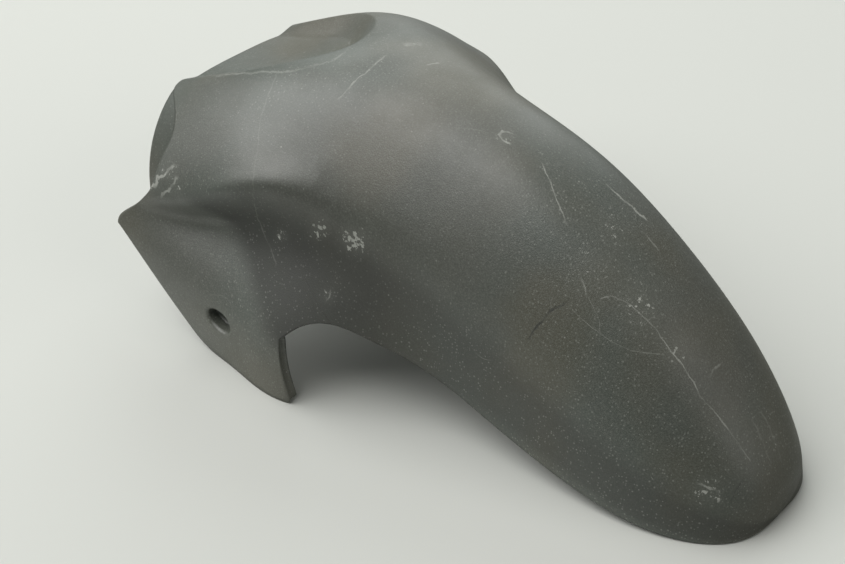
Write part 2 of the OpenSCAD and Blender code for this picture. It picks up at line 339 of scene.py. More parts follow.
def shell_places():
    """Station and rail of each point of the net. Columns run from the crown to the edge, and those
    of the ear's front pass behind the notch first. The last column follows the rear border."""
    edge = np.concatenate([nose_edge(), ear_edge()])
    u_edge = find_u(edge[:, 0])
    v_edge = find_v(u_edge, edge[:, 1])
    v_edge[0] = SIDE_RAILS
    ear = np.clip((np.arange(len(edge)) - NOSE_COLS) / EAR_COLS, 0, 1)
    u_spine = np.where(ear > 0, find_u(lerp(TOE_X - NOTCH_LEAN, REAR_X, ear)), u_edge)
    fan = lerp(FAN_NOTCH, FAN_TIP, ramp(FAN_FROM, 1, ear))
    share = np.abs(np.arange(-SPINE_ROWS, SPINE_ROWS + 1)) / SPINE_ROWS
    t = np.interp(share, ROW_SHARES, ROW_RAILS) / SIDE_RAILS
    u = lerp(u_spine[:, None], u_edge[:, None], t**fan[:, None])
    v = SIDE_RAILS * t - (SIDE_RAILS - v_edge[:, None]) * t**CLOSE_POWER
    pull = ramp(PULL_FROM, 1, ear)[:, None]
    u = u + pull * (border_u(v[-1]) - u[-1])
    return u, v * np.sign(np.arange(-SPINE_ROWS, SPINE_ROWS + 1))


class Builder:
    """Gathers points and faces of one closed mesh."""

    def __init__(self):
        self.points = []
        self.faces = []
        self.count = 0

    def add(self, points):
        """Adds points and returns their numbers in the same layout."""
        flat = np.reshape(points, (-1, 3))
        numbers = np.arange(self.count, self.count + len(flat)).reshape(np.shape(points)[:-1])
        self.points.append(flat)
        self.count += len(flat)
        return numbers

    def grid(self, numbers, keep=None, flip=False):
        """Four-sided faces between neighbours of a grid of point numbers."""
        quads = np.stack([numbers[:-1, :-1], numbers[:-1, 1:], numbers[1:, 1:], numbers[1:, :-1]], -1)
        quads = quads[keep] if keep is not None else quads.reshape(-1, 4)
        self.faces.append(quads[:, ::-1] if flip else quads)

    def step_down(self, fine, coarse, flip=False):
        """Five-sided faces from a closed loop of points to one that has half as many."""
        after = np.roll(fine, -2)[0::2]
        five = np.stack([coarse, np.roll(coarse, -1), after, fine[1::2], fine[0::2]], -1)
        self.faces.append(five[:, ::-1] if flip else five)


def rim_loop(numbers):
    """Point numbers round the border of a grid, once, in order."""
    return np.concatenate([numbers[:-1, 0], numbers[-1, :-1], numbers[:0:-1, -1], numbers[0, :0:-1]])


def grid_spots(numbers):
    """Place of each point of a net in its flat list."""
    return np.arange(numbers.size).reshape(numbers.shape)


def surface_at(x, z, start):
    """Place (u, v) on the ear where the skin has this x and z, by Newton steps from a start."""
    u, v = start
    for _ in range(NEWTON_STEPS):
        here = skin(u, v)
        du = (skin(u + STEP, v) - here) / STEP
        dv = (skin(u, v + STEP) - here) / STEP
        miss_x, miss_z = x - here[..., 0], z - here[..., 2]
        area = du[..., 0] * dv[..., 2] - du[..., 2] * dv[..., 0]
        u = u + (miss_x * dv[..., 2] - miss_z * dv[..., 0]) / area
        v = v + (du[..., 0] * miss_z - du[..., 2] * miss_x) / area
    return skin(u, v)


def closed(rings):
    """Rings of point numbers as a grid, with the first point of each repeated at its end."""
    return np.concatenate([rings, rings[:, :1]], axis=1)


def seat_profile():
    """Radius, depth and stretch of the recess, from its soft mouth over the wall and floor to
    the round hole. The mouth and the foot are quarter circles, a and b degrees round."""
    a = np.radians(np.linspace(6, 90, 10))
    mouth = np.stack([SEAT_RADIUS + SEAT_MOUTH * (1 - np.sin(a)), SEAT_MOUTH * (1 - np.cos(a))], -1)
    b = np.radians(np.linspace(0, 90, 7))
    foot = np.stack([
        SEAT_RADIUS - SEAT_FOOT * (1 - np.cos(b)),
        SEAT_DEPTH - SEAT_FOOT * (1 - np.sin(b)),
    ], -1)
    hole = np.array([
        [BOLT_RADIUS + BOLT_BEVEL, SEAT_DEPTH],
        [BOLT_RADIUS, SEAT_DEPTH + BOLT_BEVEL],
        [BOLT_RADIUS, SEAT_DEPTH + WALL / 2],
    ])
    profile = np.concatenate([mouth, foot, hole])
    stretch = np.concatenate([np.ones(len(mouth) + len(foot)), np.zeros(len(hole))])
    return np.column_stack([profile, stretch])


def cup_profile():
    """Radius, depth and stretch of the cup behind the recess, from the hole to the inner skin."""
    outer = SEAT_RADIUS + WALL
    return np.array([
        [BOLT_RADIUS, SEAT_DEPTH + WALL - BOLT_BEVEL, 0],
        [BOLT_RADIUS + BOLT_BEVEL, SEAT_DEPTH + WALL, 0],
        [outer - CUP_BEVEL, SEAT_DEPTH + WALL, 1],
        [outer, SEAT_DEPTH + WALL - CUP_BEVEL, 1],
        [outer, SEAT_DEPTH * CUP_START, 1],
    ])


def seat_window(inner, side):
    """Block of net cells that holds the recess, on one side of the shell."""
    far = np.hypot(inner[..., 0] - BOLT_X, inner[..., 2] - BOLT_Z)
    near = (far < SEAT_CLEAR) & (inner[..., 1] * side > 0)
    cols, rows = (np.flatnonzero(near.any(axis=axis)) for axis in (1, 0))
    return cols[0], cols[-1], rows[0], rows[-1]


def oval(spoke, radius, stretch):
    """Points in the bolt's plane at a radius along each spoke, drawn out along the leaning long
    axis by half the run at full stretch."""
    lean = np.radians(SEAT_LEAN)
    axis = np.array([np.cos(lean), np.sin(lean)])
    drawn = np.outer(spoke @ axis, axis) * SEAT_RUN / 2
    return np.array([BOLT_X, BOLT_Z]) + spoke * radius + drawn * stretch


def add_seat(builder, outer_no, outer, inner_no, inner, places, window, side):
    """Fills the window left in both nets: rings that ease from the net to ovals, then the recess,
    its hole, and the cup behind it. Faces turn the other way on the other side."""
    c0, c1, r0, r1 = window
    block = (slice(2 * c0, 2 * c1 + 1), slice(2 * r0, 2 * r1 + 1))
    loop = rim_loop(outer_no[block])
    spots = rim_loop(grid_spots(outer_no)[block])
    around = outer.reshape(-1, 3)[spots][:, [0, 2]]
    start = tuple(place.reshape(-1)[spots] for place in places)
    angle = np.arctan2(around[:, 1] - BOLT_Z, around[:, 0] - BOLT_X)
    spoke = np.stack([np.cos(angle), np.sin(angle)], -1)
    profile = seat_profile()
    middle = surface_at(BOLT_X, BOLT_Z, tuple(place.mean() for place in start))
    seat_y = middle[1]

    rings = []
    mouth = oval(spoke, profile[0, 0] + SEAT_MARGIN, 1)
    for t in (0.2, 0.4, 0.6, 0.8, 1.0):
        flat = lerp(around, mouth, t)
        rings.append(surface_at(flat[:, 0], flat[:, 1], start))
    mouth_y = rings[-1][:, 1]
    for radius, depth, stretch in profile:
        flat = oval(spoke, radius, stretch)
        level = lerp(mouth_y, seat_y, ramp(0, SEAT_MOUTH, depth)) - side * depth
        rings.append(np.stack([flat[:, 0], level, flat[:, 1]], -1))
    numbers = builder.add(np.array(rings))
    builder.grid(closed(np.concatenate([loop[None], numbers])), flip=True)

    inner_block = (slice(c0, c1 + 1), slice(r0, r1 + 1))
    inner_loop = rim_loop(inner_no[inner_block])
    inner_spots = rim_loop(grid_spots(inner_no)[inner_block])
    inner_around = inner.reshape(-1, 3)[inner_spots][:, [0, 2]]
    half_spoke = spoke[0::2]
    half_start = tuple(place[0::2] for place in start)
    back = []
    for radius, depth, stretch in cup_profile():
        flat = oval(half_spoke, radius, stretch)
        back.append(np.stack([flat[:, 0], np.full(len(flat), seat_y - side * depth), flat[:, 1]], -1))
    base = oval(half_spoke, SEAT_RADIUS + WALL, 1)
    for t in (0, 0.35, 0.7):
        flat = lerp(base, inner_around, t)
        on_skin = surface_at(flat[:, 0], flat[:, 1], half_start)
        on_skin[:, 1] -= side * WALL
        back.append(on_skin)
    back_no = builder.add(np.array(back))
    builder.step_down(numbers[-1], back_no[0])
    builder.grid(closed(np.concatenate([back_no, inner_loop[None]])), flip=True)


def add_shell(builder):
    """The moulded shell: outer net, inner net of half the fineness set off by the wall, rounded
    rim between them, and the two bolt seats. Returns the outer net's points and directions."""
    places = shell_places()
    outer = skin(*places)
    out = facing(*places)
    out[0] = (1, 0, 0)
    coarse = (slice(None, None, 2), slice(None, None, 2))
    inner = (outer - WALL * out)[coarse].copy()
    for nearby in ((0, 1, 2), (-1, -2, -3)):
        first = NOSE_COLS // 2 + 1
        front = slice(first, first + int(RETURN_SHARE * EAR_COLS / 2))
        for row, share in zip(nearby, RETURN_FADE):
            side = np.sign(inner[front, row, 1])
            inner[front, row, 1] -= side * (RETURN_DEPTH - WALL) * share
    outer_no, inner_no = builder.add(outer), builder.add(inner)

    cells_out = np.ones((outer.shape[0] - 1, outer.shape[1] - 1), bool)
    cells_in = np.ones((inner.shape[0] - 1, inner.shape[1] - 1), bool)
    for side in (-1, 1):
        window = seat_window(inner, side)
        c0, c1, r0, r1 = window
        cells_out[2 * c0:2 * c1, 2 * r0:2 * r1] = False
        cells_in[c0:c1, r0:r1] = False
        add_seat(builder, outer_no, outer, inner_no, inner, places, window, side)
    builder.grid(outer_no, cells_out)
    builder.grid(inner_no, cells_in, flip=True)

    rim_out, rim_in = rim_loop(outer_no), rim_loop(inner_no)
    spots = rim_loop(grid_spots(outer_no))
    lip = outer.reshape(-1, 3)[spots]
    lip_out = out.reshape(-1, 3)[spots]
    foot = np.repeat(inner.reshape(-1, 3)[rim_loop(grid_spots(inner_no))], 2, axis=0)
    foot[1::2] = (foot[1::2] + np.roll(foot, -1, axis=0)[1::2]) / 2
    tangent = unit(np.roll(lip, -1, axis=0) - np.roll(lip, 1, axis=0))
    away = unit(np.cross(lip_out, tangent))
    rounds = []
    for t, swell in RIM_ROUND:
        rounds.append(lerp(lip, foot, t) - away * swell)
    round_no = builder.add(np.array(rounds))
    builder.grid(closed(np.concatenate([rim_out[None], round_no])))
    builder.step_down(round_no[-1], rim_in, flip=True)
    return outer, out


def add_fork_wall(builder, side):
    """Inner wall beside a fork leg: a quarter wave that rolls down from the tongue's side."""
    x = np.linspace(REAR_X, REAR_X + FORK_CUT + WALL_RUN, WALL_COLS)[:, None]
    t = np.linspace(1, 0, WALL_ROWS)[None, :]
    top = skin(find_u(x), WALL_START)
    quarter = np.radians(90)
    drop = FORK_WALL_HEIGHT * t**WALL_FALL
    outer = np.stack([
        top[..., 0] + 0 * t,
        top[..., 1] + WALL_BULGE * np.sin(quarter * t),
        top[..., 2] - WALL_SINK - drop,
    ], -1)
    slope = np.stack([
        0 * t,
        WALL_FALL * FORK_WALL_HEIGHT * t ** (WALL_FALL - 1),
        WALL_BULGE * quarter * np.cos(quarter * t),
    ], -1)
    inner = outer - WALL * unit(slope)
    loop = np.concatenate([outer, inner[:, ::-1]], axis=1) * (1, side, 1)
    numbers = builder.add(loop)
    builder.grid(closed(numbers), flip=side < 0)
    for end, flip in ((numbers[0], side > 0), (numbers[-1], side < 0)):
        half = len(end) // 2
        builder.grid(np.stack([end[:half], end[:half - 1:-1]]), flip=flip)


def make_piece(name, builder):
    """Puts a builder's points and faces into a smooth mesh, in metres."""
    points = np.concatenate(builder.points) * MM
    loops = np.concatenate([group.ravel() for group in builder.faces])
    sizes = np.concatenate([np.full(len(group), group.shape[1]) for group in builder.faces])
    mesh = bpy.data.meshes.new(name)
    mesh.vertices.add(len(points))
    mesh.vertices.foreach_set("co", points.ravel())
    mesh.loops.add(len(loops))
    mesh.loops.foreach_set("vertex_index", loops.astype(np.int32))
    mesh.polygons.add(len(sizes))
    starts = np.concatenate([[0], np.cumsum(sizes)[:-1]])
    mesh.polygons.foreach_set("loop_start", starts.astype(np.int32))
    mesh.polygons.foreach_set("use_smooth", np.ones(len(sizes), bool))
    mesh.update(calc_edges=True)
    mesh.validate()
    piece = bpy.data.objects.new(name, mesh)
    bpy.context.collection.objects.link(piece)
    return piece


# The camera, at the photograph's viewing angle. Turn and rise are in degrees.
CAMERA_AIM = Vector((-25.62, -35.50, 63.07)) * MM
CAMERA_TURN = 42.0
CAMERA_RISE = 38.0
CAMERA_DISTANCE = 979.25 * MM
FOCAL_PIXELS = 1500.0
PICTURE_WIDTH, PICTURE_HEIGHT = 845, 564
SENSOR = 36.0


def camera_axes():
    """Right, up and back directions of the camera."""
    turn, rise = np.radians(CAMERA_TURN), np.radians(CAMERA_RISE)
    right = np.array([np.cos(turn), np.sin(turn), 0])
    back = np.array([np.sin(turn) * np.cos(rise), -np.cos(turn) * np.cos(rise), np.sin(rise)])
    return right, np.cross(back, right), back


def to_picture(points):
    """Pixel of each point, in millimetres, in the photograph's frame."""
    right, up, back = camera_axes()
    offset = points - (np.array(CAMERA_AIM) + back * CAMERA_DISTANCE) / MM
    depth = -(offset @ back)
    return np.stack([
        PICTURE_WIDTH / 2 + FOCAL_PIXELS * (offset @ right) / depth,
        PICTURE_HEIGHT / 2 - FOCAL_PIXELS * (offset @ up) / depth,
    ], -1)


def make_camera():
    """Camera that looks down on the mudguard's right side and nose."""
    right, up, back = (Vector(axis) for axis in camera_axes())
    data = bpy.data.cameras.new("camera")
    data.sensor_width = SENSOR
    data.lens = SENSOR * FOCAL_PIXELS / PICTURE_WIDTH
    camera = bpy.data.objects.new("camera", data)
    turn = Matrix((right, up, back)).transposed().to_4x4()
    camera.matrix_world = Matrix.Translation(CAMERA_AIM + back * CAMERA_DISTANCE) @ turn
    bpy.context.collection.objects.link(camera)
    bpy.context.scene.camera = camera


# Marks on the shell: layer, tone (1 pale, 0 dark), half width, strength, then the line's pixels
MARKS = [
    ("lip", 0, 1.0, 1.0, 0.28, [
        (194, 78), (230, 74), (255, 73), (277, 71.6), (295, 71), (306, 68),
        (322, 63), (334, 60), (343, 54), (348, 48), (350, 41)]),
    ("long arc", 1, 1.0, 0.7, 0.20, [
        (277, 73), (270, 90), (261, 116), (259, 136), (253, 179),
        (253, 194), (257.5, 218), (266, 237), (277, 265)]),
    ("ear scuff line", 1, 1.0, 2.4, 0.66, [(146, 190), (156, 181), (168, 172), (175, 165)]),
    ("ear scuff line low", 2, 1.0, 1.9, 0.55, [(160, 197), (167, 191), (173, 184), (177, 177)]),
    ("hump streak", 0, 1.0, 0.9, 0.50, [(386, 56), (370, 69), (354.5, 82), (339, 99)]),
    ("crown nick", 0, 1.0, 1.3, 0.75, [(403, 44), (412, 43.5), (422, 44)]),
    ("crown scratch", 0, 1.0, 0.7, 0.42, [(427, 65), (439, 62.5)]),
    ("front dark line", 0, 0.0, 0.9, 0.80, [(288, 249), (307, 283), (320, 309), (332, 327)]),
    ("arch curl", 1, 1.0, 0.8, 0.45, [(330, 290), (331, 296), (326, 302)]),
    ("hook mark", 0, 1.0, 1.3, 0.75, [(512, 134), (502, 131), (498, 135), (503, 140), (510, 143)]),
    ("dome scratch", 0, 1.0, 0.8, 0.68, [(542, 163), (548, 178), (554, 192), (560, 208), (567, 224)]),
    ("rear scratch", 0, 1.0, 0.9, 0.78, [(607, 184.5), (619, 195), (632, 207), (647, 221)]),
    ("short rear scratch", 0, 1.0, 0.7, 0.42, [(641, 230), (650, 240), (658, 250)]),
    ("short mid scratch", 0, 1.0, 0.8, 0.55, [(582, 278), (587, 295)]),
    ("long scratch", 0, 1.0, 0.8, 0.62, [
        (601, 298), (611, 295), (631, 305), (651.5, 323), (667, 346), (679, 361),
        (692, 381), (702, 399), (717, 414), (735, 439), (750, 461.5)]),
    ("gouge", 1, 0.0, 1.5, 0.90, [(566, 303), (548, 313), (536, 328), (528, 338)]),
    ("thin scratch", 2, 1.0, 0.6, 0.34, [(571, 308), (589, 325.5), (611, 341), (631, 351), (664, 354.5)]),
    ("thin branch", 1, 1.0, 0.6, 0.22, [(581, 280), (591, 303), (600, 320.5), (599, 343)]),
    ("nose tick", 0, 1.0, 1.1, 0.50, [(709.5, 378), (714, 370), (720, 363)]),
    ("nose rub", 0, 1.0, 1.6, 0.65, [(698, 484), (708, 487), (716, 490), (720, 494)]),
    ("nose crack", 0, 0.0, 0.8, 0.60, [(742, 482), (736, 490), (730, 502)]),
    ("tip streak", 1, 1.0, 1.0, 0.20, [(762, 411), (770, 430), (776, 446), (782, 461)]),
    ("tip streak low", 2, 1.0, 0.9, 0.18, [(752, 420), (762, 440), (770, 462)]),
]
MARK_LAYERS = 3

# How far a mark is stored on each side of its line, and past its ends, in pixels, its strength at
# the ends, and the least slope toward the camera of a face that takes marks
MARK_REACH = 9.0
MARK_OVERRUN = 2.5
MARK_ENDS = 0.35
LEAST_SLOPE = 0.03

# Rubbed and chipped patches: pixel of the middle, radius in pixels, strength
PATCHES = [
    ("ear scuff", (150, 184), 9, 0.45),
    ("ear scuff low", (167, 174), 9, 0.45),
    ("tip scuff", (175, 186), 8, 0.5),
    ("shoulder chips", (353, 240), 13, 1.0),
    ("shoulder chips left", (319, 229), 10, 0.9),
    ("ridge chip", (282, 235), 6, 0.7),
    ("arch chips", (328, 296), 8, 0.5),
    ("mid chips", (593, 262), 20, 0.42),
    ("dome chips", (612, 226), 24, 0.40),
    ("far chips", (628, 208), 16, 0.36),
    ("long scratch chips", (640, 305), 26, 0.40),
    ("scratch end chips", (678, 352), 18, 0.38),
    ("nose chips", (708, 490), 16, 0.7),
    ("tip rub", (772, 440), 20, 0.28),
    ("nick rub", (412, 45), 8, 0.3),
    ("hook rub", (503, 138), 8, 0.4),
]


def line_distance(pixels, line):
    """Signed distance of each pixel from a line of segments, and the share of the line's length
    at the nearest place, which runs below 0 and above 1 past its ends."""
    line = np.array(line, float)
    legs = np.diff(line, axis=0)
    lengths = np.linalg.norm(legs, axis=1)
    before = np.concatenate([[0], np.cumsum(lengths)[:-1]])
    best = np.full(len(pixels), np.inf)
    side = np.zeros(len(pixels))
    share = np.zeros(len(pixels))
    for k, (start, leg, length) in enumerate(zip(line[:-1], legs, lengths)):
        rel = pixels - start
        along = rel @ leg / length
        low = -np.inf if k == 0 else 0
        high = np.inf if k == len(legs) - 1 else length
        place = np.clip(along, low, high)
        inside = np.clip(along, 0, length)
        gap = np.linalg.norm(rel - np.outer(inside / length, leg), axis=1)
        cross = (leg[0] * rel[:, 1] - leg[1] * rel[:, 0]) / length
        nearer = gap < best
        best = np.where(nearer, gap, best)
        side = np.where(nearer, np.where(cross < 0, -gap, gap), side)
        share = np.where(nearer, (before[k] + place) / lengths.sum(), share)
    return side, share, lengths.sum()


def painted_hollow_shade(outer):
    """Share of painted shade on each point of the outer face: a band below the shoulder, thickest in
    the hollow ahead of the ear's crease, which is a straight line in the side view."""
    v = np.abs(shell_places()[1])
    x, z = outer[..., 0], outer[..., 2]
    ahead = (x - CREASE_X) * CREASE_ACROSS[0] + (z - CREASE_Z) * CREASE_ACROSS[1]
    band = ramp(*SHADE_RISE, v) * (1 - ramp(*SHADE_FALL, v)) * ramp(0, CREASE_SOFT, ahead)
    return band * lerp(1, SHADE_FRONT, ramp(*SHADE_THIN, x))


def store_shares(piece, name, shares):
    """Stores a share for each point of the outer face, and 0 for all other points."""
    values = np.zeros(len(piece.data.vertices))
    values[:shares.size] = shares.ravel()
    piece.data.attributes.new(name, "FLOAT", "POINT").data.foreach_set("value", values)


def add_marks(piece, outer, out):
    """Stores, on the outer face, where each scratch, rubbed patch and the painted shade of the hollow
    lie. Layer k of the scratches holds the signed distance from the line in half widths, strength and
    tone."""
    count = len(piece.data.vertices)
    points = outer.reshape(-1, 3)
    pixels = to_picture(points)
    eye = np.array(CAMERA_AIM) / MM + camera_axes()[2] * CAMERA_DISTANCE / MM
    seen = np.einsum("ij,ij->i", out.reshape(-1, 3), unit(eye - points)) > LEAST_SLOPE
    layers = [np.zeros((count, 3)) for _ in range(MARK_LAYERS)]
    nearest = [np.full(len(points), np.inf) for _ in range(MARK_LAYERS)]
    for _, layer, tone, width, strength, line in MARKS:
        side, share, length = line_distance(pixels, line)
        past = np.maximum(-share, share - 1) * length
        from_end = np.minimum(share, 1 - share)
        fade = np.clip(1 - past / MARK_OVERRUN, 0, 1) * lerp(MARK_ENDS, 1, ramp(-0.1, 0.15, from_end))
        near = seen & (np.abs(side) < MARK_REACH) & (fade > 0) & (np.abs(side) < nearest[layer])
        nearest[layer][near] = np.abs(side[near])
        rows = np.flatnonzero(near)
        layers[layer][rows, 0] = side[near] / width
        layers[layer][rows, 1] = strength * fade[near]
        layers[layer][rows, 2] = tone
    for k, values in enumerate(layers):
        attribute = piece.data.attributes.new(f"marks_{k}", "FLOAT_VECTOR", "POINT")
        attribute.data.foreach_set("vector", values.ravel())
    rub = np.zeros(len(points))
    for _, middle, radius, strength in PATCHES:
        spread = np.linalg.norm(pixels - middle, axis=1) / radius
        rub = np.maximum(rub, np.where(seen, strength * np.exp(-spread**2), 0))
    store_shares(piece, "rub", rub)
    # Band of painted shade below the shoulder
    store_shares(piece, "hollow_shade", painted_hollow_shade(outer))


class Nodes:
    """Short calls to add and link shader nodes."""

    def __init__(self, tree):
        self.tree = tree

    def add(self, kind, **settings):
        """A node with its settings; a setting that names a socket fills or links that socket."""
        node = self.tree.nodes.new(kind)
        inputs = settings.pop("inputs", {})
        for name, value in settings.items():
            setattr(node, name, value)
        for name, value in inputs.items():
            if isinstance(value, bpy.types.NodeSocket):
                self.tree.links.new(value, node.inputs[name])
            else:
                node.inputs[name].default_value = value
        return node

    def math(self, operation, a, b=0.0, c=0.0, clamp=False):
        """Result of a Math node."""
        node = self.add("ShaderNodeMath", operation=operation, use_clamp=clamp, inputs={0: a, 1: b, 2: c})
        return node.outputs[0]

    def band(self, value, low, high, to_low=0.0, to_high=1.0):
        """Smooth ramp of a value from one range to another, held at both ends."""
        node = self.add("ShaderNodeMapRange", interpolation_type="SMOOTHSTEP", inputs={
            "Value": value, "From Min": low, "From Max": high, "To Min": to_low, "To Max": to_high})
        return node.outputs["Result"]

    def noise(self, place, scale, detail=2.0, rough=0.5, warp=0.0):
        """Factor of a Noise texture."""
        node = self.add("ShaderNodeTexNoise", inputs={
            "Vector": place, "Scale": scale, "Detail": detail, "Roughness": rough, "Distortion": warp})
        return node.outputs["Fac"]

    def attribute(self, name, output="Fac"):
        """What a mesh stores on its points under a name."""
        return self.add("ShaderNodeAttribute", attribute_name=name).outputs[output]

    def mask(self, tree, place, **sockets):
        """Mask that a node group puts out."""
        node = self.add("ShaderNodeGroup", node_tree=tree, inputs={"Place": place, **sockets})
        return node.outputs["Mask"]

    def mix(self, factor, a, b):
        """Colour between a and b."""
        node = self.add("ShaderNodeMix", data_type="RGBA")
        for socket, value in ((node.inputs[0], factor), (node.inputs[6], a), (node.inputs[7], b)):
            if isinstance(value, bpy.types.NodeSocket):
                self.tree.links.new(value, socket)
            else:
                socket.default_value = value
        return node.outputs[2]


def new_group(name, inputs, outputs):
    """Node group with named float or vector inputs and outputs."""
    tree = bpy.data.node_groups.new(name, "ShaderNodeTree")
    for label, kind, value in inputs:
        socket = tree.interface.new_socket(label, in_out="INPUT", socket_type=kind)
        if value is not None:
            socket.default_value = value
    for label, kind in outputs:
        tree.interface.new_socket(label, in_out="OUTPUT", socket_type=kind)
    nodes = Nodes(tree)
    return tree, nodes, nodes.add("NodeGroupInput").outputs, nodes.add("NodeGroupOutput").inputs


FLOAT, VECTOR = "NodeSocketFloat", "NodeSocketVector"


def hairline_group():
    """Fine random scratches: thin level lines of a stretched noise, broken up by another noise."""
    tree, n, put, out = new_group("fine_scratches", [
        ("Place", VECTOR, None), ("Scale", FLOAT, 20.0), ("Width", FLOAT, 0.004), ("Cover", FLOAT, 0.5),
    ], [("Mask", FLOAT)])
    field = n.noise(put["Place"], put["Scale"], detail=1.0, warp=0.6)
    off = n.math("ABSOLUTE", n.math("SUBTRACT", field, 0.5))
    line = n.math("SUBTRACT", 1.0, n.math("DIVIDE", off, put["Width"]), clamp=True)
    broken = n.noise(put["Place"], n.math("MULTIPLY", put["Scale"], 1.7), detail=2.0)
    kept = n.band(broken, n.math("SUBTRACT", 1.0, put["Cover"]), n.math("SUBTRACT", 1.12, put["Cover"]))
    tree.links.new(n.math("MULTIPLY", line, kept), out["Mask"])
    return tree


def speck_group():
    """Sparse pale specks: small spots at some of the cells of a Voronoi pattern."""
    tree, n, put, out = new_group("specks", [
        ("Place", VECTOR, None), ("Scale", FLOAT, 150.0), ("Size", FLOAT, 0.08), ("Share", FLOAT, 0.3),
    ], [("Mask", FLOAT)])
    cells = n.add("ShaderNodeTexVoronoi", feature="F1", inputs={
        "Vector": put["Place"], "Scale": put["Scale"]})
    parts = n.add("ShaderNodeSeparateColor", inputs={"Color": cells.outputs["Color"]})
    size = n.math("MULTIPLY", put["Size"], n.math("ADD", parts.outputs[1], 0.4))
    dot = n.math("SUBTRACT", 1.0, n.math("DIVIDE", cells.outputs["Distance"], size), clamp=True)
    chosen = n.math("LESS_THAN", parts.outputs[0], put["Share"])
    tree.links.new(n.math("MULTIPLY", n.math("POWER", dot, 0.6), chosen), out["Mask"])
    return tree


# Shell colours, linear
PLASTIC = (0.084, 0.088, 0.074, 1)
PLASTIC_DEEP = (0.054, 0.056, 0.045, 1)
PLASTIC_COOL = (0.078, 0.093, 0.079, 1)
PLASTIC_OLIVE = (0.106, 0.094, 0.060, 1)
# Pale colour of scratches, rubs and specks, and of the painted glints
PALE_WEAR_AND_GLINT = (0.45, 0.46, 0.42, 1)
GOUGED = (0.034, 0.035, 0.029, 1)
DUST = (0.18, 0.19, 0.165, 1)
# Painted shade, darkening the hollow below the shoulder
PAINTED_SHADE = (0.026, 0.027, 0.022, 1)

# Shift of the olive tint's noise, in metres, so that it doesn't follow the other tints
OLIVE_SHIFT = (3.1, 1.7, 0.4)


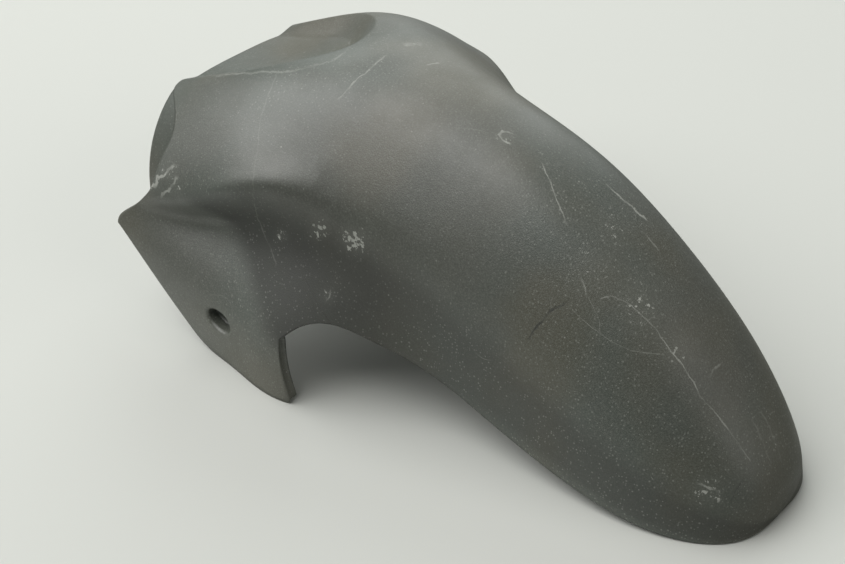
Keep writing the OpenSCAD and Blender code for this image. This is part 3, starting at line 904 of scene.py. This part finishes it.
def shell_material():
    """Grained dark grey plastic with uneven tint, dust in the grain, painted shade in the hollow below
    the shoulder, specks, painted glints, scratches and rubs."""
    material = bpy.data.materials.new("shell_plastic")
    material.use_nodes = True
    tree = material.node_tree
    tree.nodes.clear()
    n = Nodes(tree)
    place = n.add("ShaderNodeTexCoord").outputs["Object"]

    broad = n.noise(place, 7.0, detail=3.0, rough=0.55)
    patchy = n.noise(place, 26.0, detail=4.0, rough=0.6)
    fine = n.noise(place, 900.0, detail=3.0, rough=0.6)
    leather = n.add("ShaderNodeTexVoronoi", feature="DISTANCE_TO_EDGE", inputs={
        "Vector": place, "Scale": 720.0, "Randomness": 1.0}).outputs["Distance"]

    colour = n.mix(n.band(broad, 0.35, 0.65), PLASTIC, PLASTIC_COOL)
    colour = n.mix(n.band(patchy, 0.40, 0.75, 0.0, 0.35), colour, PLASTIC_DEEP)
    aside = n.add("ShaderNodeVectorMath", operation="ADD", inputs={0: place, 1: OLIVE_SHIFT}).outputs[0]
    olive = n.noise(aside, 9.0, detail=2.0)
    colour = n.mix(n.band(olive, 0.46, 0.68, 0.0, 0.58), colour, PLASTIC_OLIVE)
    colour = n.mix(n.band(fine, 0.40, 0.70, 0.0, 0.45), colour, DUST)
    colour = n.mix(n.band(leather, 0.0, 0.12, 0.30, 0.0), colour, PLASTIC_DEEP)
    # Painted shade darkens the hollow below the shoulder, unevenly by a noise
    hollow_shade = n.attribute("hollow_shade")
    colour = n.mix(n.math("MULTIPLY", hollow_shade, n.band(patchy, 0.25, 0.75, 0.95, 0.65)), colour, PAINTED_SHADE)

    spots, hairlines = speck_group(), hairline_group()
    specks = n.mask(spots, place, Scale=170.0, Size=0.08, Share=0.22)
    # Painted glints: tiny pale dots that stand in for the sparkle of light on the grain
    glints = n.mask(spots, place, Scale=620.0, Size=0.34, Share=0.36)
    dots = n.mask(spots, place, Scale=60.0, Size=0.036, Share=0.30)
    hairs = n.mask(hairlines, place, Scale=16.0, Width=0.0022, Cover=0.42)
    hairs_small = n.mask(hairlines, place, Scale=48.0, Width=0.005, Cover=0.36)
    # Pale marks: real wear, with the painted glints among it
    wear_and_glints = n.math("MAXIMUM", n.math("MULTIPLY", specks, 0.52), n.math("MULTIPLY", dots, 0.9))
    wear_and_glints = n.math("MAXIMUM", wear_and_glints, n.math("MULTIPLY", glints, n.band(broad, 0.35, 0.65, 0.20, 0.42)))
    wear_and_glints = n.math("MAXIMUM", wear_and_glints, n.math("MULTIPLY", hairs, 0.28))
    wear_and_glints = n.math("MAXIMUM", wear_and_glints, n.math("MULTIPLY", hairs_small, 0.20))

    rub = n.attribute("rub")
    crumbs = n.noise(place, 300.0, detail=4.0, rough=0.65)
    chips = n.band(n.math("ADD", crumbs, n.math("MULTIPLY", rub, 0.20)), 0.66, 0.72)
    chips = n.math("MULTIPLY", chips, n.band(rub, 0.10, 0.4))
    smear = n.math("MULTIPLY", rub, 0.10)
    wear_and_glints = n.math("MAXIMUM", wear_and_glints, n.math("MAXIMUM", chips, smear))

    ragged = n.noise(place, 650.0, detail=3.0, rough=0.7)
    sway = n.math("MULTIPLY", n.math("SUBTRACT", n.noise(place, 130.0, detail=1.0), 0.5), 5.0)
    broken = n.band(n.noise(place, 85.0, detail=3.0, rough=0.6), 0.34, 0.60, 0.25, 1.0)
    dark = 0.0
    for k in range(MARK_LAYERS):
        mark = n.attribute(f"marks_{k}", "Vector")
        parts = n.add("ShaderNodeSeparateXYZ", inputs={"Vector": mark}).outputs
        off = n.math("ABSOLUTE", n.math("ADD", parts["X"], sway))
        spread = n.math("MULTIPLY", off, n.band(ragged, 0.30, 0.70, 1.7, 0.6))
        line = n.math("MULTIPLY", n.band(spread, 0.45, 1.15, 1.0, 0.0), parts["Y"], clamp=True)
        line = n.math("MULTIPLY", line, broken)
        wear_and_glints = n.math("MAXIMUM", wear_and_glints, n.math("MULTIPLY", line, parts["Z"]))
        dark = n.math("MAXIMUM", dark, n.math("MULTIPLY", line, n.math("SUBTRACT", 1.0, parts["Z"])))

    colour = n.mix(wear_and_glints, colour, PALE_WEAR_AND_GLINT)
    colour = n.mix(dark, colour, GOUGED)

    rough = n.math("ADD", n.band(patchy, 0.3, 0.7, 0.37, 0.49), n.math("MULTIPLY", fine, 0.10))
    rough = n.math("ADD", rough, n.math("MULTIPLY", wear_and_glints, 0.25), clamp=True)
    rough = n.math("ADD", rough, n.math("MULTIPLY", hollow_shade, 0.22), clamp=True)

    height = n.math("ADD", n.math("MULTIPLY", fine, 0.7), n.band(leather, 0.0, 0.20, 0.0, 0.6))
    height = n.math("SUBTRACT", height, n.math("MULTIPLY", n.math("MAXIMUM", wear_and_glints, dark), 0.8))
    grain = n.add("ShaderNodeBump", inputs={"Strength": 0.35, "Distance": 0.0002, "Height": height})
    ripple = n.add("ShaderNodeBump", inputs={
        "Strength": 0.25, "Distance": 0.0012, "Height": patchy, "Normal": grain.outputs["Normal"]})

    shader = n.add("ShaderNodeBsdfPrincipled", inputs={
        "Base Color": colour, "Roughness": rough, "IOR": 1.5, "Specular IOR Level": 1.0,
        "Normal": ripple.outputs["Normal"]})
    target = n.add("ShaderNodeOutputMaterial")
    tree.links.new(shader.outputs["BSDF"], target.inputs["Surface"])
    return material


# Floor and world, in metres and linear colours
FLOOR_COLOUR = (0.66, 0.67, 0.64, 1)
FLOOR_AROUND = (0.16, 0.165, 0.155, 1)
FLOOR_MIDDLE = (-0.08, -0.06, 0)
FLOOR_NEAR, FLOOR_FAR = 0.20, 0.42
FLOOR_SIZE = 6.0
WORLD_COLOUR = (0.95, 1.0, 0.97, 1)
WORLD_STRENGTH = 0.12
BACKDROP_COLOUR = (0.56, 0.57, 0.54, 1)
LAMP_AIM = Vector((0, 0, 0.08))


def floor_material():
    """Plain pale floor. Its bounce light and mirror image darken away from the part, as at the
    end of a table."""
    material = bpy.data.materials.new("pale_floor")
    material.use_nodes = True
    tree = material.node_tree
    n = Nodes(tree)
    place = n.add("ShaderNodeTexCoord").outputs["Object"]
    reach = n.add("ShaderNodeVectorMath", operation="DISTANCE", inputs={
        0: place, 1: FLOOR_MIDDLE}).outputs["Value"]
    around = n.mix(n.band(reach, FLOOR_NEAR, FLOOR_FAR), FLOOR_COLOUR, FLOOR_AROUND)
    shader = tree.nodes["Principled BSDF"]
    seen = n.add("ShaderNodeLightPath").outputs["Is Camera Ray"]
    tree.links.new(n.mix(seen, around, FLOOR_COLOUR), shader.inputs["Base Color"])
    shader.inputs["Roughness"].default_value = 0.7
    shader.inputs["Specular IOR Level"].default_value = 0.2
    return material


def make_floor():
    """Wide flat floor under the part."""
    half = FLOOR_SIZE / 2
    corners = [(-half, -half, 0), (half, -half, 0), (half, half, 0), (-half, half, 0)]
    mesh = bpy.data.meshes.new("floor")
    mesh.from_pydata(corners, [], [(0, 1, 2, 3)])
    floor = bpy.data.objects.new("floor", mesh)
    bpy.context.collection.objects.link(floor)
    mesh.materials.append(floor_material())


def add_lamp(name, where, size, power, colour):
    """Square area lamp that faces the part."""
    data = bpy.data.lights.new(name, "AREA")
    data.size = size
    data.energy = power
    data.color = colour
    lamp = bpy.data.objects.new(name, data)
    aim = LAMP_AIM - Vector(where)
    lamp.matrix_world = Matrix.Translation(where) @ aim.to_track_quat("-Z", "Y").to_matrix().to_4x4()
    bpy.context.collection.objects.link(lamp)


def make_light():
    """Broad window light from above on the left, a pale wall behind, and a weak fill from the
    front right. The world is dim to the part and pale to the camera, as a wall beyond the floor."""
    world = bpy.data.worlds.new("studio")
    world.use_nodes = True
    n = Nodes(world.node_tree)
    background = world.node_tree.nodes["Background"]
    seen = n.add("ShaderNodeLightPath").outputs["Is Camera Ray"]
    strength = n.math("MULTIPLY_ADD", seen, 1 - WORLD_STRENGTH, WORLD_STRENGTH)
    world.node_tree.links.new(n.mix(seen, WORLD_COLOUR, BACKDROP_COLOUR), background.inputs["Color"])
    world.node_tree.links.new(strength, background.inputs["Strength"])
    bpy.context.scene.world = world
    add_lamp("window", (-2.5, -1.5, 3.9), 5.6, 300, (1.0, 1.0, 0.98))
    add_lamp("back_wall", (-2.2, 3.7, 2.6), 4.6, 115, (0.96, 1.0, 0.97))
    add_lamp("front_fill", (3.6, 0.9, 2.0), 3.2, 28, (1.0, 0.96, 0.90))


def make_mudguard():
    """The shell with its fork walls, in one piece that stands for the CAD solid."""
    builder = Builder()
    outer, out = add_shell(builder)
    for side in (-1, 1):
        add_fork_wall(builder, side)
    piece = make_piece("mudguard_shell", builder)
    add_marks(piece, outer, out)
    piece.data.materials.append(shell_material())
    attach(piece, "root")
    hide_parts("mudguard")


make_camera()
make_mudguard()
make_floor()
make_light()
bpy.context.scene.view_settings.view_transform = "Standard"
